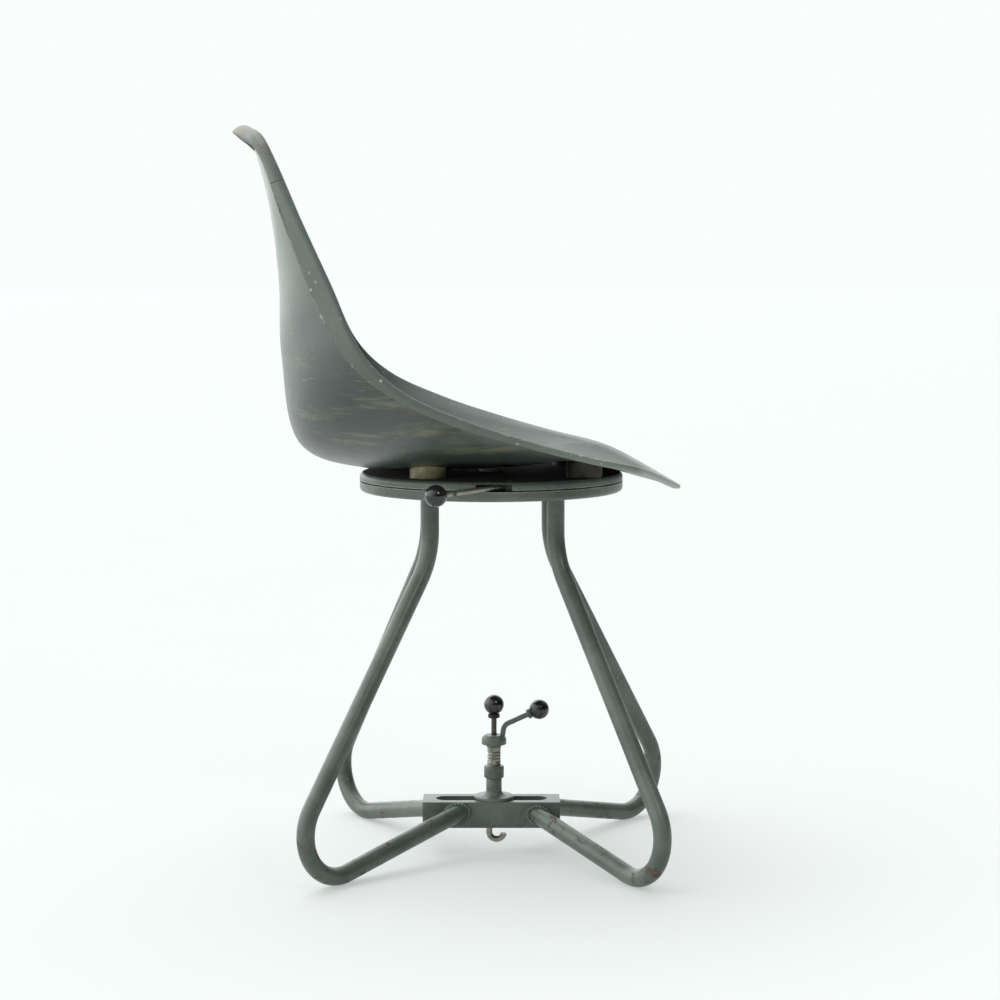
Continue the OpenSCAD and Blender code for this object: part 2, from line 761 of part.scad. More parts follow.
module hub_cap() {
    cap_z = hub_z + hub_h;
    color(paint) at_clamp() difference() {
        translate([0, 0, cap_z]) rotate_extrude($fn = 96)
            polygon(concat([[hook_rod_r + 0.4, 0]], arc([hub_r - cap_h, 0], cap_h, 0, 90),
                           [[hook_rod_r + 0.4, cap_h]]));
        translate([0, 0, cap_z - 1]) cylinder(h = 1.5, r = hub_pocket_r);
        lever_line(lever_r);
    }
}

module lever_line(thick) {
    rotate(-90) {
        straight(lever_root, lever_up, norm(lever_knee - lever_root) - lever_trim, thick);
        bend(lever_bend_centre, lever_bend_r, lever_out + 90, lever_up + 90, thick, rod_slack);
        straight(lever_knee + lever_trim * [cos(lever_out), sin(lever_out)], lever_out,
                 norm(lever_tip - lever_knee) - lever_trim, thick, 0);
    }
}

module clamp_lever() {
    color(paint) at_clamp() lever_line(lever_r);
}

ferrule_l = 4.6;
ferrule_r = 6.9;
clamp_knob_r = clamp_knob_d / 2;

module lever_ferrule() {
    start = lever_tip - (clamp_knob_r + ferrule_l - 1.2) * [cos(lever_out), sin(lever_out)];
    color(paint) at_clamp() difference() {
        rotate(-90) straight(start, lever_out, ferrule_l, ferrule_r * 0.8, 0);
        lever_line(lever_r);
        rotate(-90) translate([lever_tip[0], 0, lever_tip[1]]) sphere(r = clamp_knob_r);
    }
}

module lever_knob() {
    color(black) at_clamp() difference() {
        rotate(-90) translate([lever_tip[0], 0, lever_tip[1]]) sphere(r = clamp_knob_r);
        lever_line(lever_r);
    }
}

module thrust_washer() {
    color(brass) at_clamp() translate([0, 0, thrust_z]) difference() {
        cylinder(h = thrust_h, r = hub_pocket_r - 0.3);
        translate([0, 0, -1]) cylinder(h = thrust_h + 2, r = hook_rod_r + run_gap);
    }
}

// Hook rod: straight down the column, cranked back so that the bowl is under the axis
bowl_z = hook_low_z + hook_rod_r + hook_r;
crank_top_z = 42;
crank_low_z = 34;
crank_y = hook_r - 3;
bowl_sweep = 170;
top_rod_r = hook_rod_r - 0.5;
top_knob_z = 171;

module hook_rod() {
    color(steel) at_clamp() {
        translate([0, 0, crank_top_z]) cylinder(h = rod_shoulder_z - crank_top_z, r = hook_rod_r);
        translate([0, 0, crank_top_z]) sphere(r = hook_rod_r + knuckle);
        rod([0, 0, crank_top_z], [0, crank_y, crank_low_z], hook_rod_r);
        translate([0, crank_y, crank_low_z]) sphere(r = hook_rod_r + knuckle);
        translate([0, crank_y, bowl_z - rod_lap])
            cylinder(h = crank_low_z - bowl_z + rod_lap, r = hook_rod_r);
        rotate(90)
            bend([crank_y - hook_r, bowl_z], hook_r, -bowl_sweep, 0, hook_rod_r, rod_slack);
        translate([0, 0, rod_shoulder_z]) cylinder(h = shoulder_h, r = hub_pocket_r - 1);
        translate([0, 0, rod_shoulder_z]) cylinder(h = top_knob_z - rod_shoulder_z, r = top_rod_r);
    }
}

module hook_ferrule() {
    color(steel) at_clamp() translate([0, 0, top_knob_z - clamp_knob_r - ferrule_l + 0.6]) difference() {
        cylinder(h = ferrule_l, r = ferrule_r);
        translate([0, 0, -1]) cylinder(h = 30, r = top_rod_r);
        translate([0, 0, clamp_knob_r + ferrule_l - 0.6]) sphere(r = clamp_knob_r);
    }
}

module hook_knob() {
    color(black) at_clamp() translate([0, 0, top_knob_z]) difference() {
        sphere(r = clamp_knob_r);
        translate([0, 0, -2 * clamp_knob_r]) cylinder(h = 2 * clamp_knob_r, r = top_rod_r);
    }
}

seat_shell();
seat_pads();
seat_inserts();
seat_bolts();
seat_washers();
upper_pan();
upper_race();
lock_pin();
pivot_bolt();
pivot_washer();
pivot_nut();
cotter_pin();
ball_cage();
bearing_balls();
lock_lever();
lock_shoe();
lock_knob();
lower_pan();
pivot_bush();
lower_race();
brake_ring();
leg_front_left();
leg_front_right();
leg_rear_left();
leg_rear_right();
pan_welds();
channel_welds();
channel();
channel_ends();
slot_washer();
column_sleeve();
collar();
guide_block();
thrust_washer();
screw_sleeve();
clamp_hub();
hub_cap();
clamp_lever();
lever_ferrule();
lever_knob();
hook_rod();
hook_ferrule();
hook_knob();
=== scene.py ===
"""Looks of a swivel bucket seat on a looped tube stand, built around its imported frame."""

import logging
import math
from dataclasses import dataclass, field
from enum import Enum
from typing import Iterable, Iterator, Sequence, Union

import bmesh
import bpy
from mathutils import Matrix, Vector


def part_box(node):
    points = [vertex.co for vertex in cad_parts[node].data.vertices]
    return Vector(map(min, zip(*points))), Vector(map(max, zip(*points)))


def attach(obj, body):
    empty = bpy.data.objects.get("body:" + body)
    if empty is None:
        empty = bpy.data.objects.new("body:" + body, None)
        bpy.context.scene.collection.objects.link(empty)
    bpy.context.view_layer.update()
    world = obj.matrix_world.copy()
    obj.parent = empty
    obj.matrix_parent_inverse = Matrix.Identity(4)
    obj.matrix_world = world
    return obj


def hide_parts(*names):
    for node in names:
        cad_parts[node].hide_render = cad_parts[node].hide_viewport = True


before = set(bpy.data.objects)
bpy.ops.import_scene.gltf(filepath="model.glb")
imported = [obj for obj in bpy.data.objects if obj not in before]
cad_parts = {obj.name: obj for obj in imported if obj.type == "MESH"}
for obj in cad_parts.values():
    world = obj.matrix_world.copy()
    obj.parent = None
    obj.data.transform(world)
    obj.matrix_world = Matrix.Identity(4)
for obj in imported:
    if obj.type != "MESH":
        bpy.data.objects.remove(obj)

LOG = logging.getLogger("swivel_seat")
MM = 0.001
SHARP_ANGLE = math.radians(38)
Colour = tuple[float, float, float, float]
Number = Union[float, "Value"]
Paint = Union[Colour, bpy.types.NodeSocket]
Ring = tuple[list[Vector], Vector, Vector]


def paint_tone(red: int, green: int, blue: int) -> Colour:
    """Turns a paint chart's tone into the linear colour that a shader reads.

    Args:
        red: Red of the tone, from 0 to 255.
        green: Green of the tone, from 0 to 255.
        blue: Blue of the tone, from 0 to 255.

    Returns:
        The linear colour, with an alpha of 1.
    """
    linear = []
    for part in (red, green, blue):
        share = part / 255
        linear.append(share / 12.92 if share <= 0.04045 else ((share + 0.055) / 1.055) ** 2.4)
    return (*linear, 1.0)


# ---- Shader maths ----------------------------------------------------------


class Value:
    """A number worked out by a material's nodes, used with Python's own operators."""

    def __init__(self, recipe: "Recipe", socket: bpy.types.NodeSocket) -> None:
        """Wraps one output socket of a recipe's node."""
        self.recipe = recipe
        self.socket = socket

    def _maths(self, operation: str, *terms: Number) -> "Value":
        """Adds one Math node.

        Args:
            operation: The Math node's operation.
            terms: Its inputs, in order.

        Returns:
            The result.
        """
        node = self.recipe.node("ShaderNodeMath", {"operation": operation}, dict(enumerate(terms)))
        return Value(self.recipe, node.outputs[0])

    def __add__(self, other: Number) -> "Value":
        """Returns self + other."""
        return self._maths("ADD", self, other)

    def __radd__(self, other: float) -> "Value":
        """Returns other + self."""
        return self._maths("ADD", other, self)

    def __sub__(self, other: Number) -> "Value":
        """Returns self - other."""
        return self._maths("SUBTRACT", self, other)

    def __rsub__(self, other: float) -> "Value":
        """Returns other - self."""
        return self._maths("SUBTRACT", other, self)

    def __mul__(self, other: Number) -> "Value":
        """Returns self * other."""
        return self._maths("MULTIPLY", self, other)

    def __rmul__(self, other: float) -> "Value":
        """Returns other * self."""
        return self._maths("MULTIPLY", other, self)

    def __abs__(self) -> "Value":
        """Returns the size of self without its sign."""
        return self._maths("ABSOLUTE", self)

    def most(self, other: Number) -> "Value":
        """Returns the greater of self and other."""
        return self._maths("MAXIMUM", self, other)

    def rise(self, low: float, high: float) -> "Value":
        """Returns 0 below low, 1 above high, and a smooth step between; low may be the greater."""
        node = self.recipe.node(
            "ShaderNodeMapRange", {"interpolation_type": "SMOOTHSTEP", "clamp": True},
            {"Value": self, "From Min": low, "From Max": high, "To Min": 0.0, "To Max": 1.0})
        return Value(self.recipe, node.outputs[0])

    def near(self, spot: float, reach: float) -> "Value":
        """Returns 1 where self is at spot, and 0 further away than reach."""
        return abs(self - spot).rise(reach, 0.0)


class NodeTree:
    """A tree of shader nodes, emptied, and the one method that adds a node to it."""

    def __init__(self, tree: bpy.types.NodeTree) -> None:
        """Empties the tree.

        Args:
            tree: The tree of a material or of the world.
        """
        self.tree = tree
        self.tree.nodes.clear()

    def fill(self, node: bpy.types.Node, values: dict) -> None:
        """Fills a node's sockets.

        Args:
            node: The node.
            values: Its sockets by name or number, each a number, a tuple, a Value or a socket.
        """
        for key, value in values.items():
            socket = node.inputs[key]
            if isinstance(value, Value):
                self.tree.links.new(value.socket, socket)
            elif isinstance(value, bpy.types.NodeSocket):
                self.tree.links.new(value, socket)
            else:
                socket.default_value = value

    def node(self, kind: str, settings: dict | None = None,
             values: dict | None = None) -> bpy.types.Node:
        """Adds one node.

        Args:
            kind: The node's type.
            settings: Its settings, which are set first.
            values: The values or links of its sockets, as fill takes them.

        Returns:
            The node.
        """
        node = self.tree.nodes.new(kind)
        for key, setting in (settings or {}).items():
            setattr(node, key, setting)
        self.fill(node, values or {})
        return node


class Recipe(NodeTree):
    """A material's nodes."""

    def __init__(self, name: str) -> None:
        """Starts an empty material with its shader and output.

        Args:
            name: The material's name.
        """
        self.material = bpy.data.materials.new(name)
        self.material.use_nodes = True
        super().__init__(self.material.node_tree)
        self.shader = self.node("ShaderNodeBsdfPrincipled")
        self.node("ShaderNodeOutputMaterial", None, {"Surface": self.shader.outputs[0]})
        self.place = self.node("ShaderNodeTexCoord").outputs["Object"]

    def axis(self, name: str) -> Value:
        """Returns one coordinate of the surface, in metres; name is X, Y or Z."""
        return Value(self, self.node("ShaderNodeSeparateXYZ", None, {0: self.place}).outputs[name])

    def attribute(self, name: str) -> Value:
        """Returns a number that the mesh carries on its points."""
        return Value(self, self.node("ShaderNodeAttribute", {"attribute_name": name}).outputs["Fac"])

    def stretched(self, stretch: Sequence[float],
                  turn: Sequence[float] = (0, 0, 0)) -> bpy.types.NodeSocket:
        """Scales and turns the surface's coordinates.

        Args:
            stretch: Scale along each axis.
            turn: Turn about each axis, in radians.

        Returns:
            The socket of the new coordinates.
        """
        values = {"Vector": self.place, "Scale": tuple(stretch), "Rotation": tuple(turn)}
        return self.node("ShaderNodeMapping", None, values).outputs[0]

    def cloud(self, scale: float, detail: float = 4.0, roughness: float = 0.55,
              where: bpy.types.NodeSocket | None = None, warp: float = 0.0) -> Value:
        """Adds a noise.

        Args:
            scale: Its patches per metre, about.
            detail: Its octaves.
            roughness: The strength of the finer octaves.
            where: Its coordinates, or None for the surface's own.
            warp: How much it is distorted.

        Returns:
            The noise, about 0.5 on average.
        """
        values = {"Vector": where or self.place, "Scale": scale, "Detail": detail,
                  "Roughness": roughness, "Distortion": warp}
        return Value(self, self.node("ShaderNodeTexNoise", None, values).outputs[0])

    def cells(self, scale: float) -> Value:
        """Returns the distance to the nearest of many scattered points, at scale points per metre."""
        node = self.node("ShaderNodeTexVoronoi", {"feature": "F1"},
                         {"Vector": self.place, "Scale": scale})
        return Value(self, node.outputs["Distance"])

    def mix(self, factor: Value, low: Paint, high: Paint) -> bpy.types.NodeSocket:
        """Mixes two colours.

        Args:
            factor: 0 for the first colour and 1 for the second.
            low: The first colour.
            high: The second colour.

        Returns:
            The socket of the mixed colour.
        """
        node = self.node("ShaderNodeMix", {"data_type": "RGBA", "clamp_factor": True},
                         {0: factor, 6: low, 7: high})
        return node.outputs[2]

    def finish(self, colour: Paint, roughness: Number, height: Value | None = None,
               depth: float = 0.0002, metallic: Number = 0.0,
               **others: Union[Number, Paint]) -> bpy.types.Material:
        """Fills the shader's sockets.

        Args:
            colour: The base colour.
            roughness: The roughness.
            height: The surface's relief, from 0 to 1, or None.
            depth: How deep the relief is, in metres.
            metallic: How metallic it is.
            others: Other sockets by name, with underscores for spaces.

        Returns:
            The material.
        """
        wanted = {"Base Color": colour, "Roughness": roughness, "Metallic": metallic}
        wanted.update({key.replace("_", " "): value for key, value in others.items()})
        if height is not None:
            bump = self.node("ShaderNodeBump", None,
                             {"Strength": 1.0, "Distance": depth, "Height": height})
            wanted["Normal"] = bump.outputs[0]
        self.fill(self.shader, wanted)
        return self.material


# ---- Finishes --------------------------------------------------------------


@dataclass(frozen=True)
class ShellPaint:
    """Old satin paint over glass-fibre laminate, on a mesh that carries "roll"."""

    tone: Colour = paint_tone(58, 69, 65)
    pale: Colour = paint_tone(75, 86, 80)
    deep: Colour = paint_tone(45, 54, 51)
    olive: Colour = paint_tone(118, 116, 84)
    chalk: Colour = paint_tone(176, 180, 170)
    brown: Colour = paint_tone(92, 72, 52)
    dark: Colour = paint_tone(30, 32, 28)
    # The next two tones are painted light and painted shade for the outside: paler high up, darker low
    # down
    painted_lit_tone: Colour = paint_tone(104, 114, 107)
    dark_tone: Colour = paint_tone(28, 34, 31)
    crack_drop: float = 0.068
    crack_slope: float = 0.35
    crack_back: float = 0.235

    def make(self) -> bpy.types.Material:
        """Returns the material."""
        r = Recipe("shell_paint_worn")
        roll = r.attribute("roll")
        x, y, z = r.axis("X"), r.axis("Y"), r.axis("Z")
        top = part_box("seat_shell")[1].z
        broad = r.cloud(7.0, 3.0, 0.5)
        mottle = r.cloud(38.0, 5.0, 0.6, warp=0.6)
        colour = r.mix(broad.rise(0.35, 0.7) * 0.8, self.tone, self.pale)
        colour = r.mix(mottle.rise(0.5, 0.72) * 0.35, colour, self.deep)
        # Painted light and painted shade: paler high on the outside, darker low down
        outside = roll.rise(2.4, 2.8)
        colour = r.mix(outside * z.rise(0.57, 0.68) * 0.5, colour, self.painted_lit_tone)
        colour = r.mix(outside * z.rise(0.6, 0.53) * 0.6, colour, self.dark_tone)
        # Rubbed olive patches, low on the outside
        low = z.rise(0.62, 0.5) * outside
        streaks = r.cloud(9.0, 6.0, 0.7, r.stretched((1, 0.8, 5.5)), 0.4)
        colour = r.mix(streaks.rise(0.52, 0.68) * low * 0.55, colour, self.olive)
        # Fine scratches, in two directions
        scratch = r.cloud(30.0, 2.0, 0.4, r.stretched((1, 1.4, 26), (0.25, 0, 0)))
        other = r.cloud(34.0, 2.0, 0.4, r.stretched((1, 22, 1.2), (-0.5, 0, 0)))
        scratched = scratch.rise(0.665, 0.7).most(other.rise(0.69, 0.72) * 0.8)
        patchy = r.cloud(13.0, 2.0).rise(0.5, 0.62)
        colour = r.mix(scratched * patchy * 0.6, colour, self.olive)
        # The rolled rim: dusty, with pale specks and a chipped outer edge
        rim = roll.rise(0.9, 1.1) * roll.rise(2.3, 2.05)
        dust = r.cloud(60.0, 6.0, 0.7)
        colour = r.mix(rim * dust.rise(0.45, 0.75) * 0.5, colour, self.pale)
        speck = r.cells(95.0).rise(0.2, 0.12) * r.cloud(19.0, 3.0).rise(0.52, 0.6)
        colour = r.mix(rim * speck * 0.75, colour, self.chalk)
        # Painted highlight: the rim paler towards the front lip, where light glances off it
        lip = rim * (0.1 + 0.2 * y.rise(-0.02, -0.16) + 0.35 * y.rise(-0.155, -0.168))
        colour = r.mix(lip, colour, self.chalk)
        nibble = r.cloud(120.0, 5.0, 0.7)
        edge = roll.near(2.0, 0.16) * nibble.rise(0.47, 0.58)
        colour = r.mix(edge * r.cloud(11.0, 2.0).rise(0.42, 0.6) * 0.6, colour, self.chalk)
        crest = roll.near(1.08, 0.14) * nibble.rise(0.55, 0.68)
        colour = r.mix(crest * 0.45, colour, self.chalk)
        # Brown laminate shows where the top of the back was knocked
        knock = z.rise(top - 0.05, top - 0.012) * rim * r.cloud(70.0, 5.0, 0.65).rise(0.5, 0.56)
        colour = r.mix(knock * 0.9, colour, self.brown)
        # One crack across the rim on the lever's side, with paint lost along the edge under it
        wander = (r.cloud(90.0, 3.0) - 0.5) * 0.006
        drop = z - (top - self.crack_drop) + y * self.crack_slope \
            - self.crack_slope * self.crack_back + wander
        side = x.rise(-0.03, -0.06)
        crack = drop.near(0.0, 0.0011) * rim * side
        colour = r.mix(crack * 0.95, colour, self.dark)
        lost = drop.rise(0.004, -0.002) * drop.rise(-0.06, -0.035) * roll.near(2.0, 0.3) * side
        colour = r.mix(lost * nibble.rise(0.42, 0.5) * 0.9, colour, self.dark)
        flake = drop.near(-0.001, 0.006) * roll.near(1.8, 0.3) * side * nibble.rise(0.4, 0.5)
        colour = r.mix(flake, colour, self.brown)
        inside = roll.rise(0.99, 0.9)
        gloss = 0.24 + 0.12 * mottle + 0.08 * broad + 0.25 * edge + 0.15 * rim + 0.3 * inside
        peel = r.cloud(420.0, 2.0)
        relief = 0.25 * peel + 0.55 * r.cloud(26.0, 2.0) - 0.5 * edge - 0.8 * crack - 0.15 * scratched
        return r.finish(colour, gloss, relief, 0.0006, Specular_IOR_Level=0.6,
                        Coat_Weight=0.15 * roll.rise(2.0, 3.0), Coat_Roughness=0.18)


class Upkeep(Enum):
    """How a painted piece has been kept, as its wear and its rusting."""

    HANDLED = (0.9, 0.3)
    TURNED = (0.8, 0.1)
    KICKED = (0.45, 0.35)
    STOOD_ON = (0.7, 0.55)
    BARE_JOINT = (0.7, 0.9)


@dataclass(frozen=True)
class Enamel:
    """Grey-green enamel on steel, worn through to primer and rust in places."""

    name: str
    upkeep: Upkeep
    tone: Colour = paint_tone(74, 84, 78)
    pale: Colour = paint_tone(98, 107, 99)
    deep: Colour = paint_tone(52, 60, 56)
    primer: Colour = paint_tone(140, 136, 100)
    rust: Colour = paint_tone(98, 74, 50)
    rust_dark: Colour = paint_tone(54, 42, 34)
    bare: Colour = paint_tone(178, 184, 176)
    painted_shade: Colour = paint_tone(10, 10, 10)
    foot_top: float = 0.0
    grain: float = 1.0
    edges: Sequence[float] = ()
    shade_above: float = 0.0

    def make(self) -> bpy.types.Material:
        """Returns the material."""
        r = Recipe(self.name)
        wear, rusting = self.upkeep.value
        z = r.axis("Z")
        broad = r.cloud(16.0 * self.grain, 4.0, 0.55)
        mottle = r.cloud(85.0 * self.grain, 6.0, 0.65, warp=0.5)
        fine = r.cloud(260.0 * self.grain, 5.0, 0.7)
        colour = r.mix(broad.rise(0.35, 0.68) * 0.85, self.tone, self.pale)
        colour = r.mix(mottle.rise(0.5, 0.75) * 0.45, colour, self.deep)
        rub = r.cloud(22.0 * self.grain, 6.0, 0.75, warp=1.0)
        rubbed = rub.rise(0.66 - 0.1 * wear, 0.74 - 0.1 * wear) * fine.rise(0.4, 0.6)
        colour = r.mix(rubbed * 0.55, colour, self.primer)
        fleck = r.cells(150.0 * self.grain).rise(0.16, 0.08) * rub.rise(0.5, 0.58)
        colour = r.mix(fleck * 0.7, colour, self.deep)
        spots = r.cloud(48.0 * self.grain, 7.0, 0.72, warp=0.8)
        level = 0.7 - 0.12 * rusting
        if self.foot_top > 0:
            lowered = z.rise(self.foot_top, self.foot_top * 0.25) * 0.1
            rusted = (spots + lowered).rise(level, level + 0.06)
        else:
            rusted = spots.rise(level, level + 0.06)
        rust_tone = r.mix(fine.rise(0.42, 0.6), self.rust, self.rust_dark)
        colour = r.mix(rusted * 0.9, colour, rust_tone)
        for edge_z in self.edges:
            bright = z.near(edge_z, 0.0011) * fine.rise(0.36, 0.56)
            colour = r.mix(bright * 0.75, colour, self.bare)
        gloss = 0.27 + 0.15 * mottle + 0.4 * rusted + 0.12 * rubbed
        # Painted shade: near-black on the top face, where the seat's shadow falls
        if self.shade_above > 0:
            shaded_top = z.rise(self.shade_above - 0.0005, self.shade_above - 0.0001)
            colour = r.mix(shaded_top * 0.93, colour, self.painted_shade)
            gloss = gloss.most(shaded_top)
        relief = 0.35 * fine + 0.45 * mottle - 0.5 * rubbed + 0.4 * rusted
        return r.finish(colour, gloss, relief, 0.00028, Specular_IOR_Level=0.5)


@dataclass(frozen=True)
class BareSteel:
    """Turned or drawn steel that has dulled, with dark grime and a little rust."""

    name: str
    bright: Colour = paint_tone(176, 174, 166)
    dull: Colour = paint_tone(120, 116, 104)
    dark_tone: Colour = paint_tone(46, 42, 34)
    lines: Sequence[float] = (1, 1, 40)
    dirt: float = 0.4
    dark_above: float = 0.0

    def make(self) -> bpy.types.Material:
        """Returns the material."""
        r = Recipe(self.name)
        drawn = r.cloud(60.0, 4.0, 0.6, r.stretched(self.lines))
        patch = r.cloud(45.0, 5.0, 0.65, warp=0.6)
        fine = r.cloud(300.0, 4.0, 0.7)
        colour = r.mix(drawn.rise(0.35, 0.65), self.bright, self.dull)
        dirty = (patch + fine * 0.25).rise(0.72 - 0.2 * self.dirt, 0.86 - 0.2 * self.dirt)
        colour = r.mix(dirty * 0.85, colour, self.dark_tone)
        if self.dark_above > 0:
            smoked = r.axis("Z").rise(self.dark_above, self.dark_above + 0.004)
            colour = r.mix(smoked * 0.8, colour, self.dark_tone)
        gloss = 0.34 + 0.16 * drawn + 0.3 * dirty
        return r.finish(colour, gloss, 0.6 * drawn + 0.4 * fine, 0.00012,
                        metallic=0.9 - 0.55 * dirty)


@dataclass(frozen=True)
class KnobPlastic:
    """Black moulded plastic, polished by hands, with dust and hairline scratches."""

    black: Colour = paint_tone(22, 22, 21)
    haze: Colour = paint_tone(62, 60, 55)

    def make(self) -> bpy.types.Material:
        """Returns the material."""
        r = Recipe("knob_plastic_black")
        haze = r.cloud(70.0, 5.0, 0.7)
        hairs = r.cloud(140.0, 2.0, 0.4, r.stretched((1, 9, 1), (0.5, 0.3, 0.8)))
        colour = r.mix(haze.rise(0.55, 0.78) * 0.3, self.black, self.haze)
        colour = r.mix(hairs.rise(0.68, 0.71) * 0.5, colour, self.haze)
        gloss = 0.13 + 0.2 * haze.rise(0.45, 0.75) + 0.15 * hairs.rise(0.66, 0.72)
        relief = 0.6 * r.cloud(120.0, 2.0) + 0.4 * hairs
        return r.finish(colour, gloss, relief, 0.00006, Specular_IOR_Level=0.5, Coat_Roughness=0.08,
                        Coat_Weight=0.35)


@dataclass(frozen=True)
class RawResin:
    """Laminating resin that has yellowed, cloudy and a little dirty."""

    tone: Colour = paint_tone(134, 128, 90)
    cloudy: Colour = paint_tone(166, 160, 124)
    dirt: Colour = paint_tone(84, 76, 50)
    painted_shade: Colour = paint_tone(24, 24, 20)

    def make(self) -> bpy.types.Material:
        """Returns the material."""
        r = Recipe("raw_resin_yellowed")
        cloudy = r.cloud(60.0, 5.0, 0.6, warp=1.2)
        fine = r.cloud(240.0, 4.0, 0.6)
        colour = r.mix(cloudy.rise(0.4, 0.65), self.tone, self.cloudy)
        dirty = r.cloud(110.0, 6.0, 0.7).rise(0.55, 0.7)
        colour = r.mix(dirty * 0.6, colour, self.dirt)
        # Painted shade: the front pads darkened, as they sit in the shell's shadow
        colour = r.mix(r.axis("Y").rise(-0.02, -0.07) * 0.94, colour, self.painted_shade)
        return r.finish(colour, 0.35 + 0.3 * fine, cloudy * 0.7 + fine * 0.3, 0.0008)


@dataclass(frozen=True)
class Bronze:
    """Bearing bronze with a brown skin."""

    tone: Colour = paint_tone(176, 146, 92)
    brown: Colour = paint_tone(98, 74, 44)

    def make(self) -> bpy.types.Material:
        """Returns the material."""
        r = Recipe("bearing_bronze")
        skin = r.cloud(80.0, 5.0, 0.65)
        rings = r.cloud(40.0, 2.0, 0.5, r.stretched((1, 1, 30)))
        colour = r.mix(skin.rise(0.4, 0.7), self.tone, self.brown)
        return r.finish(colour, 0.3 + 0.3 * skin, rings, 0.00008, metallic=0.95)


@dataclass(frozen=True)
class BrakeLining:
    """Pressed friction lining, fibrous and matt."""

    tone: Colour = paint_tone(58, 50, 42)
    fibre: Colour = paint_tone(110, 96, 74)

    def make(self) -> bpy.types.Material:
        """Returns the material."""
        r = Recipe("brake_lining_pressed")
        fibre = r.cloud(700.0, 3.0, 0.7, r.stretched((1, 3, 1), (0, 0, 0.6)))
        colour = r.mix(fibre.rise(0.55, 0.7), self.tone, self.fibre)
        return r.finish(colour, 0.75 + 0.15 * fibre, fibre, 0.0002)


# ---- Pieces ----------------------------------------------------------------


def add_piece(name: str, mesh: bmesh.types.BMesh, body: str, material: bpy.types.Material,
              replaced: Iterable[str]) -> None:
    """Turns a finished bmesh into a piece of the object.

    Args:
        name: The piece's name.
        mesh: Its shape, in metres, in place.
        body: The body that it moves with.
        material: Its material.
        replaced: The nodes that it stands for.
    """
    data = bpy.data.meshes.new(name)
    mesh.to_mesh(data)
    mesh.free()
    data.shade_smooth()
    data.set_sharp_from_angle(angle=SHARP_ANGLE)
    data.materials.append(material)
    piece = bpy.data.objects.new(name, data)
    bpy.context.scene.collection.objects.link(piece)
    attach(piece, body)
    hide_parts(*replaced)
    LOG.info("%s: %d faces on %s", name, len(data.polygons), body)


def dress(nodes: Iterable[str], material: bpy.types.Material) -> None:
    """Gives carried-over nodes their material.

    Args:
        nodes: The nodes' names.
        material: Their material.
    """
    for name in nodes:
        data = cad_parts[name].data
        data.materials.clear()
        data.materials.append(material)
        LOG.info("%s: dressed in %s", name, material.name)


def wrapped(verts: Iterable[bmesh.types.BMVert], rows: int,
            around: int) -> Iterator[tuple[bmesh.types.BMVert, int, int]]:
    """Goes over a new grid that is to be wrapped round a piece.

    Args:
        verts: The grid's vertices.
        rows: Its squares along x.
        around: Its squares along y, whose last edge meets the first.

    Yields:
        Each vertex with its row and its step round the piece.
    """
    for vert in verts:
        yield vert, round((vert.co.x + 1) / 2 * rows), round((vert.co.y + 1) / 2 * around) % around


def close_up(shape: bmesh.types.BMesh) -> None:
    """Merges a wrapped grid's doubles and turns its faces outwards."""
    bmesh.ops.remove_doubles(shape, verts=shape.verts, dist=1e-6)
    bmesh.ops.recalc_face_normals(shape, faces=shape.faces)


